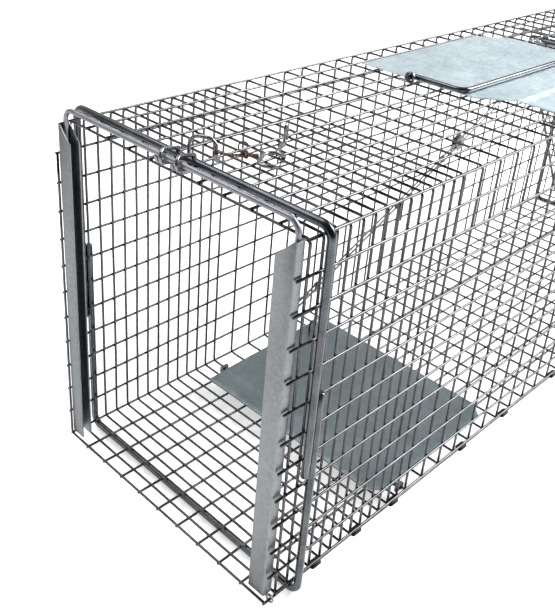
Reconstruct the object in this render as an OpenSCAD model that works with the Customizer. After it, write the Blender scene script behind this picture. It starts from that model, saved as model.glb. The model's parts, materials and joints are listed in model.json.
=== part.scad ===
// Live catch trap: a welded wire cage with a slanted entrance door at one end, a treadle
// that trips it, and a pair of channels for a sliding release door at the other end.
// Origin: middle of the footprint, on the ground. +X runs from the release end to the entrance.

/* [Cage] */
// Spacing of the long wires, and of the cross wires past the fine stretch
pitch = 25.4; // [24:0.1:27]
// Length of the cage, in pitches
cells_long = 36; // [32:1:42]
// Width of the cage, in pitches
cells_wide = 10; // [8:2:12]
// Height of the cage, in pitches
cells_high = 12; // [11:1:14]
// Length of the stretch with cross wires at half pitch, in pitches
fine_cells = 7; // [3:1:8]
// Thickness of the mesh wire
wire_d = 2.2; // [1.8:0.1:2.6]
// Thickness of a mesh panel where two wires cross
panel_t = 3; // [2.6:0.1:3.4]

/* [Hoops and channels] */
// Thickness of the heavy hoop rod
hoop_d = 6.35; // [5:0.05:6.5]
// Bend radius of the heavy hoops
hoop_bend = 9; // [8.8:0.1:9.2]
// Thickness of the guide hoop rod
guide_d = 4; // [3:0.1:4.5]
// Width of a channel leg
channel_leg = 16; // [10:0.5:20]
// Depth of a channel along the cage
channel_depth = 9.7; // [8.5:0.1:9.8]
// Thickness of the channel sheet
sheet_t = 1.2; // [0.8:0.1:1.4]

/* [Handle] */
// Length of the grip, in pitches
grip_cells = 9.6; // [8:0.1:10]
// Reach of the handle from its pivots to the grip
handle_reach = 55; // [45:1:60]
// Thickness of the handle wire
handle_d = 5; // [4:0.1:6]

/* [Treadle and door] */
// Length of the treadle plate along the cage, in pitches
treadle_cells = 6.7; // [6.5:0.1:7]
// Upward tilt of the treadle at rest, in degrees
treadle_tilt = 1.5; // [1:0.1:2]
// Thickness of a trip rod
trip_d = 2.3; // [2:0.1:2.6]
// Gap between the centres of the two trip rods
trip_gap = 6; // [5.6:0.1:7]
// Thickness of the door's frame rod
door_rod_d = 4; // [3:0.1:5]

/* [Hidden] */
$fn = 48;

cage_l = cells_long * pitch;
cage_w = cells_wide * pitch;
cage_h = cells_high * pitch;
hoop_off = panel_t / 2 + hoop_d / 2 + 1.8;
flat_depth = 0.275;
floor_z = hoop_off + hoop_d / 2 - flat_depth;
roof_z = floor_z + cage_h;
floor_top = floor_z + panel_t / 2;
roof_top = roof_z + panel_t / 2;
wall_y = cage_w / 2;
inner_y = wall_y - panel_t / 2;

// Places given in pitches from the release end and from the floor wires
function along(n) = n * pitch - cage_l / 2;
function up(n) = floor_z + n * pitch;

cross_wires = concat([for (i = [0 : fine_cells * 2]) i / 2],
                     [for (i = [fine_cells + 1 : cells_long]) i]);
long_wires = [for (i = [0 : cells_wide]) i - cells_wide / 2];
level_wires = [for (i = [0 : cells_high]) i];

zinc = [0.70, 0.72, 0.75];
galvanised = [0.62, 0.66, 0.69];
dull_zinc = [0.55, 0.55, 0.60];
blue_grey = [0.50, 0.58, 0.62];
dark_steel = [0.22, 0.22, 0.23];
brass_wire = [0.55, 0.42, 0.25];

function last(v) = v[len(v) - 1];

// Flat welded mesh: a plate from lo to hi with a window between each pair of wires.
// A window that passes the plate's edge leaves the wires there with free ends.
module lattice(xs, ys, lo, hi) {
    linear_extrude(panel_t, center = true)
        difference() {
            translate(lo) square(hi - lo);
            for (i = [0 : len(xs) - 2], j = [0 : len(ys) - 2])
                translate([xs[i] + wire_d / 2, ys[j] + wire_d / 2])
                    square([xs[i + 1] - xs[i] - wire_d, ys[j + 1] - ys[j] - wire_d]);
        }
}

// Inverted U of rod in the XY plane: closed end on the X axis, legs of length leg towards -Y
module bent_u(width, leg, d, bend) {
    for (side = [-1, 1]) {
        translate([side * width / 2, -bend, 0])
            rotate([90, 0, 0])
                cylinder(h = leg - bend, d = d);
        translate([side * (width / 2 - bend), -bend, 0])
            rotate([0, 0, side > 0 ? 0 : 90])
                rotate_extrude(angle = 90)
                    translate([bend, 0]) circle(d = d);
    }
    translate([bend - width / 2, 0, 0])
        rotate([0, 90, 0])
            cylinder(h = width - 2 * bend, d = d);
}

// Closed oblong ring of rod in the XY plane, long axis on X
module oblong_ring(length, bend, d) {
    for (side = [-1, 1]) {
        translate([side * length / 2, 0, 0])
            rotate([0, 0, side > 0 ? -90 : 90])
                rotate_extrude(angle = 180)
                    translate([bend, 0]) circle(d = d);
        translate([-length / 2, side * bend, 0])
            rotate([0, 90, 0])
                cylinder(h = length, d = d);
    }
}

// ---- Cage ----

module flat_panel(z, first) {
    xs = [for (n = cross_wires) if (n >= first) along(n)];
    ys = long_wires * pitch;
    translate([0, 0, z])
        lattice(xs, ys, [xs[0] - wire_d / 2, ys[0] - wire_d / 2],
                [last(xs) + wire_d / 2, last(ys) + wire_d / 2]);
}

module cage_roof() {
    color(zinc) flat_panel(roof_z, 0.5);
}

module cage_floor() {
    color(zinc) flat_panel(floor_z, 0);
}

// The rotation lays the lattice's Y axis upright
module side_panel(y, xs, first_x) {
    translate([0, y, 0])
        rotate([90, 0, 0])
            lattice(xs, [for (n = level_wires) up(n)], [first_x, floor_top],
                    [last(xs) + wire_d / 2, roof_z - panel_t / 2]);
}

module cage_left_wall() {
    xs = [for (n = cross_wires) along(n)];
    color(zinc) side_panel(wall_y, xs, xs[0] - wire_d / 2);
}

// The right wall's long wires reach forward of its first upright as bare ends
module cage_right_wall() {
    bare_ends = 0.05;
    xs = concat([along(-0.5)], [for (n = cross_wires) if (n > 0) along(n)]);
    color(zinc) side_panel(-wall_y, xs, along(bare_ends));
}

// Crimped sheet clips round the bottom right edge, each between two cross wires
module seam_clips() {
    clip_l = 9;
    color(dark_steel)
        for (n = [2.25, 4.25, 6.25, 10.5, 13.5, 17.5, 20.5, 24.5, 27.5, 31.5])
            translate([along(n) - clip_l / 2, -wall_y, floor_z])
                rotate([0, 90, 0])
                    difference() {
                        cylinder(h = clip_l, d = 7);
                        translate([0, 0, -1]) cylinder(h = clip_l + 2, d = 4.4);
                    }
}

module corner_tie() {
    color(zinc)
        translate([along(0.25), -wall_y, floor_z])
            rotate([0, 90, 0])
                rotate_extrude() translate([3.3, 0]) circle(d = 1.8);
}

// ---- Release end ----

channel_foot = floor_z + 5;
channel_x = along(0) + 0.5;

// U-channel open towards the cage's middle, its top cut back at 45 degrees as a lead-in
module channel(side) {
    color(galvanised)
        translate([channel_x, side * inner_y, channel_foot])
            scale([1, -side, 1])
                difference() {
                    cube([channel_depth, channel_leg, roof_z - channel_foot]);
                    translate([sheet_t, sheet_t, -1])
                        cube([channel_depth - 2 * sheet_t, channel_leg, cage_h]);
                    translate([-1, 2, roof_z - channel_foot])
                        rotate([-45, 0, 0])
                            cube([channel_depth + 2, 40, 20]);
                }
}

module left_channel() channel(1);
module right_channel() channel(-1);

guide_x = along(0.25);
guide_z = up(12.45);

module guide_hoop() {
    width = 2 * (inner_y - sheet_t - guide_d / 2 - 0.2);
    color(dull_zinc)
        translate([guide_x, 0, guide_z])
            rotate([90, 0, 90])
                bent_u(width, guide_z - up(0.7), guide_d, 9);
}

upper_x = 0.94;
lower_x = 1.2;
hoop_w = 2 * (wall_y + hoop_off);

module upper_hoop(x, foot) {
    top = roof_z + hoop_off;
    color(zinc)
        translate([x, 0, top])
            rotate([90, 0, 90])
                bent_u(hoop_w, top - foot, hoop_d, hoop_bend);
}

// The underside is ground flat where the trap rests on it
module lower_hoop(x, head) {
    bottom = floor_z - hoop_off;
    color(zinc)
        difference() {
            translate([x, 0, bottom])
                rotate([90, 180, 90])
                    bent_u(hoop_w, head - bottom, hoop_d, hoop_bend);
            translate([x - hoop_d, -hoop_w, -hoop_d])
                cube([2 * hoop_d, 2 * hoop_w, hoop_d]);
        }
}

module release_upper_hoop() upper_hoop(along(upper_x), up(4.54));
module release_lower_hoop() lower_hoop(along(lower_x), up(7.35));
module entrance_upper_hoop() upper_hoop(along(cells_long - upper_x), up(4.54));
module entrance_lower_hoop() lower_hoop(along(cells_long - lower_x), up(7.35));

// ---- Handle ----

plate_z = roof_top + 2;
plate_from = along(12.9);
plate_to = along(22);
plate_left = 3.6 * pitch;
plate_fold = -2.62 * pitch;
flange_w = 1.45 * pitch;

// Plate with three corners cut off, and a flange past the fold that slopes down to the roof
module guard_plate() {
    corner = 1.1 * pitch;
    inset = 0.8;
    color(blue_grey) {
        translate([0, 0, plate_z])
            linear_extrude(sheet_t)
                polygon([[plate_from, plate_left], [plate_from, plate_fold + corner],
                         [plate_from + corner, plate_fold], [plate_to - corner, plate_fold],
                         [plate_to, plate_fold + corner], [plate_to, plate_left - corner],
                         [plate_to - corner, plate_left]]);
        translate([plate_from + corner + inset, plate_fold, plate_z])
            rotate([2.2, 0, 0])
                translate([0, -flange_w, 0])
                    cube([plate_to - plate_from - 2 * (corner + inset), flange_w + sheet_t, sheet_t]);
    }
}

// Posts that tie the plate down, each over a crossing of the roof wires
module plate_ties() {
    color(zinc)
        for (x = [14, 21], y = [-2, 2])
            translate([along(x), y * pitch, roof_top])
                cylinder(h = plate_z - roof_top, d = 4);
}

pivot_y = 1.1 * pitch;
pivot_z = roof_top + 6;
grip_from = along(12.85);
grip_to = grip_from + grip_cells * pitch;
eye_l = 5;
eye_gap = 4;

module handle_eyes() {
    color(zinc)
        for (x = [grip_from - eye_gap - eye_l, grip_to + eye_gap])
            translate([x, pivot_y, pivot_z])
                rotate([0, 90, 0])
                    difference() {
                        cylinder(h = eye_l, d = handle_d + 6);
                        translate([0, 0, -1]) cylinder(h = eye_l + 2, d = handle_d + 0.12);
                    }
}

// Bail with its two ends turned outward through the eyes
module handle_bail() {
    bend = 10;
    turn = 3.4;
    pin = eye_gap + eye_l + 3 - turn;
    color(zinc) {
        translate([(grip_from + grip_to) / 2, pivot_y - handle_reach, pivot_z])
            rotate([0, 0, 180])
                bent_u(grip_to - grip_from, handle_reach - turn, handle_d, bend);
        for (end = [[grip_from, -1], [grip_to, 1]]) {
            translate([end[0] + end[1] * turn, pivot_y - turn, pivot_z])
                rotate([0, 0, end[1] > 0 ? 90 : 0])
                    rotate_extrude(angle = 90)
                        translate([turn, 0]) circle(d = handle_d);
            translate([end[0] + end[1] * turn, pivot_y, pivot_z])
                rotate([0, end[1] * 90, 0])
                    cylinder(h = pin, d = handle_d);
        }
    }
}

// ---- Treadle ----

axle_d = 4;
axle_x = along(6.8);
axle_z = floor_top + 3.4;
treadle_from = along(5.8);
treadle_right = -4.7 * pitch;
treadle_left = 3.9 * pitch;
treadle_t = 1.2;
sleeve_d = axle_d + 2.1;

// Turns its children with the treadle's rest tilt about the axle
module on_treadle() {
    translate([axle_x, 0, axle_z])
        rotate([0, -treadle_tilt, 0])
            translate([-axle_x, 0, -axle_z])
                children();
}

// Plate with a sleeve folded round the axle
module treadle_plate() {
    length = treadle_cells * pitch;
    corner = 12;
    under = axle_z + axle_d / 2 + 0.1;
    color(blue_grey)
        on_treadle()
            difference() {
                union() {
                    translate([0, 0, under])
                        linear_extrude(treadle_t)
                            polygon([[treadle_from + corner, treadle_right],
                                     [treadle_from + length - corner, treadle_right],
                                     [treadle_from + length, treadle_right + corner],
                                     [treadle_from + length, treadle_left - corner],
                                     [treadle_from + length - corner, treadle_left],
                                     [treadle_from, treadle_left],
                                     [treadle_from, treadle_right + corner]]);
                    translate([axle_x, treadle_left - 2, axle_z])
                        rotate([90, 0, 0])
                            cylinder(h = treadle_left - treadle_right - 4, d = sleeve_d);
                }
                translate([axle_x, treadle_left + 1, axle_z])
                    rotate([90, 0, 0])
                        cylinder(h = treadle_left - treadle_right + 2, d = axle_d + 0.12);
            }
}

module treadle_axle() {
    left_end = treadle_left + 8;
    right_end = 0.5 - inner_y;
    color(zinc)
        translate([axle_x, left_end, axle_z])
            rotate([90, 0, 0])
                cylinder(h = left_end - right_end, d = axle_d);
}

// Small saddles that hold the axle's two ends on the floor wires
module axle_clips() {
    saddle_l = 3;
    saddle_w = 9;
    color(galvanised)
        for (y = [1 - inner_y, treadle_left + 4])
            translate([axle_x - saddle_w / 2, y, floor_top])
                difference() {
                    cube([saddle_w, saddle_l, axle_z - floor_top + axle_d / 2 + sheet_t]);
                    translate([saddle_w / 2, -1, axle_z - floor_top])
                        rotate([-90, 0, 0])
                            cylinder(h = saddle_l + 2, d = axle_d + 0.02);
                }
}

toe_x = along(12) - 9;
toe_z = axle_z + 12.5;
eye_y = 3.45 * pitch;

// Staple on the treadle's far left corner that the trip rods' toe passes through
module treadle_eye() {
    wire = 2.3;
    head = 13;
    back = -2;
    color(zinc)
        on_treadle()
            translate([toe_x + back, eye_y, axle_z + axle_d / 2 + 0.1 + treadle_t + head])
                rotate([90, 0, 0])
                    bent_u(16, head, wire, 4);
}

// ---- Trip rods ----

trip_y = 4.8 * pitch;
trip_rise = atan(0.457);
trip_l = 23 * pitch;

// Puts its children on the trip rods' line: X along the rods, Y square to them in the wall's plane
module on_trip() {
    translate([toe_x, trip_y, toe_z])
        rotate([0, -trip_rise, 0])
            rotate([90, 0, 0])
                children();
}

pivot_at = 12.9 * pitch;

// Hairpin of two rods; the lower one ends in a toe across the treadle's corner
module trip_rods() {
    toe = trip_y - eye_y + 6;
    color(zinc) {
        on_trip() {
            rotate([0, 90, 0]) cylinder(h = trip_l, d = trip_d);
            translate([10, trip_gap, 0]) rotate([0, 90, 0]) cylinder(h = trip_l - 10, d = trip_d);
            translate([trip_l, trip_gap / 2, 0])
                rotate([0, 0, -90])
                    rotate_extrude(angle = 180)
                        translate([trip_gap / 2, 0]) circle(d = trip_d);
            sphere(d = trip_d);
        }
        translate([toe_x, trip_y, toe_z])
            rotate([90, 0, 0])
                cylinder(h = toe, d = trip_d);
    }
}

// Straps of wire that bind the two rods together
module rod_bindings() {
    margin = 1;
    color(zinc)
        on_trip()
            for (at = [40, 7.6 * pitch, 11.4 * pitch, 19 * pitch])
                translate([at, 0, 0])
                    difference() {
                        translate([0, -trip_d / 2 - margin, -trip_d / 2 - margin])
                            cube([5, trip_gap + trip_d + 2 * margin, trip_d + 2 * margin]);
                        for (y = [0, trip_gap])
                            translate([-1, y, 0])
                                rotate([0, 90, 0])
                                    cylinder(h = 7, d = trip_d + 0.04);
                    }
}

stud_d = 3;
tab_t = 1.25;
tab_side = 16;

// Sheet tab on the rods, bored for the pivot stud
module rod_pivot_tab() {
    color(galvanised)
        on_trip()
            translate([pivot_at, trip_gap / 2, trip_d / 2])
                difference() {
                    translate([-tab_side / 2, -tab_side / 2, 0])
                        cube([tab_side, tab_side, tab_t]);
                    translate([0, 0, -1]) cylinder(h = tab_t + 2, d = stud_d + 0.12);
                }
}

// Stud on a small plate against the left wall; its head keeps the tab on
module rod_pivot_stud() {
    wall_gap = inner_y - trip_y;
    head_at = trip_d / 2 + tab_t + 0.5;
    color(galvanised)
        on_trip()
            translate([pivot_at, trip_gap / 2, 0]) {
                translate([0, 0, -wall_gap]) cylinder(h = wall_gap + head_at, d = stud_d);
                translate([-10, -10, -wall_gap]) cube([20, 20, 1]);
                translate([0, 0, head_at]) cylinder(h = 1.2, d = 7);
            }
}

// Narrow strip hanging from the rods
module rod_counterweight() {
    hang = 26;
    color(dark_steel)
        on_trip()
            translate([7.6 * pitch + 9, trip_gap / 2, trip_d / 2])
                rotate([0, 0, -trip_rise])
                    translate([0, -hang, 0])
                        cube([5, hang + 4, 1.5]);
}

// ---- Entrance door ----

hinge_x = along(27.5);
hinge_z = up(11.4);
door_foot_x = along(35.5);
door_foot_z = floor_top + door_rod_d / 2 + 1.5;
door_drop = hinge_z - door_foot_z;
door_run = door_foot_x - hinge_x;
door_l = norm([door_drop, door_run]);
door_angle = atan2(door_drop, door_run);
door_w = 8.8 * pitch;
door_head = 8;

// Puts its children on the closed door: X down the slope from the hinge, Y across
module on_door() {
    translate([hinge_x, 0, hinge_z])
        rotate([0, door_angle, 0])
            children();
}

module door_frame() {
    height = door_l - door_head;
    color(zinc)
        on_door()
            translate([door_l, 0, 0])
                rotate([0, 0, -90]) {
                    bent_u(door_w, height - 8, door_rod_d, 8);
                    translate([0, -height, 0])
                        rotate([0, 0, 180])
                            bent_u(door_w, 8, door_rod_d, 7.9);
                }
}

module door_mesh() {
    edge = door_rod_d / 2 + 0.02;
    half = door_w / 2 - edge;
    from = door_head + edge;
    to = door_l - edge;
    xs = concat([0], [for (i = [1 : 13]) i * pitch], [15 * pitch]);
    ys = concat([-6 * pitch], [for (i = [-4 : 4]) i * pitch], [6 * pitch]);
    color(zinc) on_door() lattice(xs, ys, [from, -half], [to, half]);
}

module door_hinge_rod() {
    reach = inner_y - 0.1;
    color(zinc)
        translate([hinge_x, reach, hinge_z])
            rotate([90, 0, 0])
                cylinder(h = 2 * reach, d = door_rod_d);
}

// Sheet straps that wrap the hinge rod and the top rail of the door
module door_hinge_straps() {
    strap_w = 14;
    color(galvanised)
        on_door()
            for (y = [-2.5, 2.5])
                translate([0, y * pitch + strap_w / 2, 0])
                    rotate([90, 0, 0])
                        difference() {
                            union() {
                                for (x = [0, door_head]) translate([x, 0, 0]) cylinder(h = strap_w, d = 6.4);
                                translate([0, -3.2, 0]) cube([door_head, 6.4, strap_w]);
                            }
                            translate([0, 0, -1]) cylinder(h = strap_w + 2, d = door_rod_d + 0.12);
                            translate([door_head, 0, -1]) cylinder(h = strap_w + 2, d = door_rod_d + 0.02);
                        }
}

// ---- Roof latch ----

coil_d = 2.6;
coil_skew = 20;

// Two turns of wire over the guide hoop and the upper hoop, open below where the roof mesh runs
module latch_coils() {
    guide = [guide_x, guide_z];
    hoop = [along(upper_x), roof_z + hoop_off];
    span = hoop - guide;
    reach = hoop_d / 2 + coil_d / 2 + 0.6;
    color(zinc)
        difference() {
            for (y = [-0.35, 0.31])
                translate([(guide.x + hoop.x) / 2, y * pitch, (guide.y + hoop.y) / 2])
                    rotate([90, -atan2(span.y, span.x), coil_skew])
                        oblong_ring(norm(span) / cos(coil_skew), reach, coil_d);
            translate([along(0), -cage_w / 4, roof_z - pitch])
                cube([3 * pitch, cage_w / 2, pitch + panel_t / 2 + 0.3]);
        }
}

// Wire arch standing on the roof behind the upper hoop
module latch_arch() {
    head = 18;
    color(zinc)
        translate([along(1.48), -0.5, roof_top + 0.1 + head])
            rotate([90, 0, -61])
                bent_u(20, head, 3, 7);
}

hook_d = 3;
hook_at = [along(2.95), -1.25 * pitch];
hook_turn = 29;
hook_straight = 12;
hook_bend = 7.5;
ear_from = 1.4;
ear_t = 0.6;
hook_z = roof_top + 0.4 + ear_from + ear_t;

// Puts its children in the snap hook's frame: X from the ring's middle towards the shank
module on_hook() {
    translate([hook_at.x, hook_at.y, hook_z])
        rotate([0, 0, hook_turn])
            children();
}

knot_d = 4.4;
knot_at = [2, hook_bend + hook_d / 2 + knot_d / 2 + 0.3, 0];

// Knot of tie wire beside the hook's ring, with two strands that run to the arch
module tie_wire() {
    tie_d = 1.6;
    strand_l = 28;
    color(brass_wire)
        on_hook()
            translate(knot_at) {
                translate([0, 0, -2]) cylinder(h = 4, d = knot_d);
                for (y = [-1, 1])
                    rotate([0, 0, 180 - 61.5])
                        translate([0, y, 0])
                            rotate([0, 90, 0])
                                cylinder(h = strand_l, d = tie_d);
            }
}

pin_x = 3.6;
pin_d = 1.2;

// Oblong ring with a gap on one side for the gate, a flat shank and a standing eye at its end.
// Two ears beside the gap hold the gate's pin.
module snap_hook() {
    ring_end = hook_straight / 2 + hook_bend;
    shank_l = 22;
    eye_bend = 3.5;
    eye_straight = 8;
    eye_wire = 2.4;
    color(zinc)
        on_hook() {
            difference() {
                oblong_ring(hook_straight, hook_bend, hook_d);
                translate([-hook_straight / 2, -hook_bend - hook_d, -hook_d])
                    cube([hook_straight, 2 * hook_d, 2 * hook_d]);
            }
            translate([ring_end, -2, -1.3]) cube([shank_l, 4, 2.6]);
            translate([ring_end + shank_l + eye_bend, 0, eye_straight / 2 + eye_bend - 0.8])
                rotate([0, 90, 90])
                    oblong_ring(eye_straight, eye_bend, eye_wire);
            for (z = [-ear_from - ear_t, ear_from])
                translate([pin_x - 1.4, -hook_bend - hook_d / 2, z])
                    cube([hook_straight / 2 + 1.5 + 1.4 - pin_x, hook_d, ear_t]);
            translate([pin_x, -hook_bend, -ear_from - ear_t])
                cylinder(h = 2 * (ear_from + ear_t), d = pin_d);
        }
}

// Bar that closes the gap in the hook's ring, bored for its pin at one end
module snap_gate() {
    gate_d = 2.2;
    boss_d = 3.4;
    tip_x = 0.4 - hook_straight / 2;
    color(zinc)
        on_hook()
            translate([0, -hook_bend, 0])
                difference() {
                    union() {
                        translate([tip_x, 0, 0])
                            rotate([0, 90, 0])
                                cylinder(h = pin_x - boss_d / 2 + 0.4 - tip_x, d = gate_d);
                        translate([pin_x, 0, -gate_d / 2]) cylinder(h = gate_d, d = boss_d);
                    }
                    translate([pin_x, 0, -gate_d]) cylinder(h = 2 * gate_d, d = pin_d + 0.12);
                }
}

cage_roof();
cage_floor();
cage_left_wall();
cage_right_wall();
seam_clips();
corner_tie();
left_channel();
right_channel();
guide_hoop();
release_upper_hoop();
release_lower_hoop();
entrance_upper_hoop();
entrance_lower_hoop();
guard_plate();
plate_ties();
handle_eyes();
handle_bail();
treadle_plate();
treadle_axle();
axle_clips();
treadle_eye();
trip_rods();
rod_bindings();
rod_pivot_tab();
rod_counterweight();
rod_pivot_stud();
door_frame();
door_mesh();
door_hinge_rod();
door_hinge_straps();
latch_coils();
latch_arch();
tie_wire();
snap_hook();
snap_gate();
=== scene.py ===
"""Looks of the live catch trap: round welded wire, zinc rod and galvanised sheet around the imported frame."""

import json
import math

import bmesh
import bpy
from mathutils import Matrix, Vector


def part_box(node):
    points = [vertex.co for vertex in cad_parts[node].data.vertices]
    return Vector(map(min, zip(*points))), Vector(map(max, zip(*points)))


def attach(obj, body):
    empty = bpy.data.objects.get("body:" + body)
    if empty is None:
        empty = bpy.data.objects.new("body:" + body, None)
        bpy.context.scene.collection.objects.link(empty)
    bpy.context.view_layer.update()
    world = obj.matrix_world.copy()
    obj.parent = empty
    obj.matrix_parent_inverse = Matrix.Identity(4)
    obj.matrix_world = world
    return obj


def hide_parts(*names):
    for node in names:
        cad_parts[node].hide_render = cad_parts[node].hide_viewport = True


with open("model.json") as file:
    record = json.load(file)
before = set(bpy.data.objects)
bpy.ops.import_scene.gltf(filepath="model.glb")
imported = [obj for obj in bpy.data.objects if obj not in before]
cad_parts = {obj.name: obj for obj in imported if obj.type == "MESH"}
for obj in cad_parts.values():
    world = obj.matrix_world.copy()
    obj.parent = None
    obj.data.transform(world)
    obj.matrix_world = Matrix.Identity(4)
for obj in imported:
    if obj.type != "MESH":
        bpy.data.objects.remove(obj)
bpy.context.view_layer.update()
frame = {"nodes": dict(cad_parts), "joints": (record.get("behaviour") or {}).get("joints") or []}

# ---- Driving sizes, in metres, worked out from the frame where it holds them ----

MM = 0.001
PITCH = 25.4 * MM
CELLS_LONG, CELLS_WIDE, CELLS_HIGH, FINE_CELLS = 36, 10, 12, 7
WIRE_R = 1.1 * MM
LAYER = 0.75 * MM
MESH_BEND = 4 * MM


def middle(node, axis):
    low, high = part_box(node)
    return (low[axis] + high[axis]) / 2


def low(node, axis):
    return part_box(node)[0][axis]


def high(node, axis):
    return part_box(node)[1][axis]


def joint_at(name):
    """Where a joint's axis stands at rest."""
    return Vector(next(j for j in frame["joints"] if j["name"] == name)["pos_m"])


FLOOR_Z = middle("cage_floor", 2)
FLOOR_TOP = high("cage_floor", 2)
ROOF_Z = middle("cage_roof", 2)
ROOF_TOP = high("cage_roof", 2)
WALL_Y = middle("cage_left_wall", 1)
RELEASE_X = low("cage_floor", 0) + WIRE_R


def along(cells):
    """X of a place given in mesh cells from the release end."""
    return RELEASE_X + cells * PITCH


def up(cells):
    """Z of a place given in mesh cells above the floor wires."""
    return FLOOR_Z + cells * PITCH


# ---- Mesh building ----

class Builder:
    """Collects tubes, blobs and sheets into one mesh, with a material index for each face."""

    def __init__(self):
        self.verts, self.faces, self.index, self.flat = [], [], [], []

    def face(self, corners, mat, flat=False):
        self.faces.append(corners)
        self.index.append(mat)
        self.flat.append(flat)

    def tube(self, path, radius, sides=10, mat=0, capped=True, squash=None):
        """Sweeps a circle along the path. Its capped ends get a small chamfer."""
        path = [Vector(p) for p in path]
        dirs = [(b - a).normalized() for a, b in zip(path, path[1:])]
        tangents = [dirs[0]] + [(a + b).normalized() for a, b in zip(dirs, dirs[1:])] + [dirs[-1]]
        side = tangents[0].orthogonal().normalized()
        rings = []
        for point, tangent in zip(path, tangents):
            side = (side - tangent * side.dot(tangent)).normalized()
            rings.append((point, side, tangent.cross(side), radius))
        if capped:
            edge = 0.3 * radius
            first, final = rings[0], rings[-1]
            rings[0] = (first[0] + tangents[0] * edge, *first[1:])
            rings[-1] = (final[0] - tangents[-1] * edge, *final[1:])
            rings.insert(0, (first[0], first[1], first[2], radius - edge))
            rings.append((final[0], final[1], final[2], radius - edge))
        start = len(self.verts)
        for point, u, v, r in rings:
            for k in range(sides):
                a = 2 * math.pi * k / sides
                self.verts.append(point + u * (r * math.cos(a)) + v * (r * math.sin(a)))
        for ring in range(len(rings) - 1):
            for k in range(sides):
                a, b = start + ring * sides + k, start + ring * sides + (k + 1) % sides
                self.face((a, b, b + sides, a + sides), mat)
        last = start + (len(rings) - 1) * sides
        self.face(tuple(start + k for k in reversed(range(sides))), mat, True)
        self.face(tuple(last + k for k in range(sides)), mat, True)

    def blob(self, centre, size, mat=0):
        """Small rounded lump, of the given half sizes along X, Y and Z."""
        start = len(self.verts)
        rings, sides = 3, 6
        self.verts.append(Vector(centre) + Vector((0, 0, size[2])))
        for ring in range(1, rings + 1):
            lat = math.pi * ring / (rings + 1)
            for k in range(sides):
                a = 2 * math.pi * k / sides
                turn = Vector((math.sin(lat) * math.cos(a), math.sin(lat) * math.sin(a), math.cos(lat)))
                self.verts.append(Vector(centre) + Vector(t * s for t, s in zip(turn, size)))
        self.verts.append(Vector(centre) - Vector((0, 0, size[2])))
        end = len(self.verts) - 1
        for k in range(sides):
            nxt = (k + 1) % sides
            self.face((start, start + 1 + k, start + 1 + nxt), mat)
            self.face((end, end - sides + nxt, end - sides + k), mat)
            for ring in range(rings - 1):
                a = start + 1 + ring * sides
                self.face((a + k, a + sides + k, a + sides + nxt, a + nxt), mat)

    def strip(self, line, thick, ends, mat=0, place=None):
        """Sheet bent along a line of (x, y) points, standing from ends[0] to ends[1](x, y) in Z."""
        place = place or Matrix.Identity(4)
        pts = [Vector(p) for p in line]
        dirs = [(b - a).normalized() for a, b in zip(pts, pts[1:])]
        tangents = [dirs[0]] + [(a + b).normalized() for a, b in zip(dirs, dirs[1:])] + [dirs[-1]]
        start = len(self.verts)
        for p, t in zip(pts, tangents):
            out = Vector((t.y, -t.x)) * (thick / 2)
            for q in (p + out, p - out):
                self.verts.append(place @ Vector((q.x, q.y, ends[0])))
                self.verts.append(place @ Vector((q.x, q.y, ends[1](q.x, q.y))))
        n = len(pts)
        for i in range(n - 1):
            a, b = start + 4 * i, start + 4 * (i + 1)
            self.face((a, b, b + 1, a + 1), mat)
            self.face((a + 2, a + 3, b + 3, b + 2), mat)
            self.face((a + 1, b + 1, b + 3, a + 3), mat, True)
            self.face((a, a + 2, b + 2, b), mat, True)
        first, last = start, start + 4 * (n - 1)
        self.face((first, first + 1, first + 3, first + 2), mat, True)
        self.face((last, last + 2, last + 3, last + 1), mat, True)

    def plate(self, outline, z, thick, mat=0, place=None):
        """Flat plate of the given outline, from z upwards, moved by the place matrix."""
        place = place or Matrix.Identity(4)
        start, n = len(self.verts), len(outline)
        for level in (z, z + thick):
            self.verts += [place @ Vector((x, y, level)) for x, y in outline]
        self.face(tuple(start + i for i in reversed(range(n))), mat, True)
        self.face(tuple(start + n + i for i in range(n)), mat, True)
        for i in range(n):
            j = (i + 1) % n
            self.face((start + i, start + j, start + n + j, start + n + i), mat, True)

    def sheet(self, stations, across, thick, height, mat=0, place=None):
        """Thin sheet. Each station is (s, t0, t1), and height(s, t) gives the top face."""
        place = place or Matrix.Identity(4)
        start, wide = len(self.verts), across + 1
        for drop in (0, thick):
            for s, t0, t1 in stations:
                for k in range(wide):
                    t = t0 + (t1 - t0) * k / across
                    self.verts.append(place @ Vector((s, t, height(s, t) - drop)))
        layer = len(stations) * wide
        for i in range(len(stations) - 1):
            for k in range(across):
                a = start + i * wide + k
                self.face((a, a + 1, a + 1 + wide, a + wide), mat)
                self.face((a + layer, a + layer + wide, a + layer + 1 + wide, a + layer + 1), mat)
            for a in (start + i * wide, start + i * wide + across):
                self.face((a, a + wide, a + wide + layer, a + layer), mat, True)
        for row in (0, len(stations) - 1):
            for k in range(across):
                a = start + row * wide + k
                self.face((a, a + 1, a + 1 + layer, a + layer), mat, True)

    def turned(self, profile, place, sides=16, mat=0):
        """Solid turned about the local X axis, from (distance, radius) pairs."""
        start = len(self.verts)
        for x, r in profile:
            for k in range(sides):
                a = 2 * math.pi * k / sides
                self.verts.append(place @ Vector((x, r * math.cos(a), r * math.sin(a))))
        for i in range(len(profile) - 1):
            for k in range(sides):
                a, b = start + i * sides + k, start + i * sides + (k + 1) % sides
                self.face((a, b, b + sides, a + sides), mat)
        last = start + (len(profile) - 1) * sides
        self.face(tuple(start + k for k in reversed(range(sides))), mat, True)
        self.face(tuple(last + k for k in range(sides)), mat, True)

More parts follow.
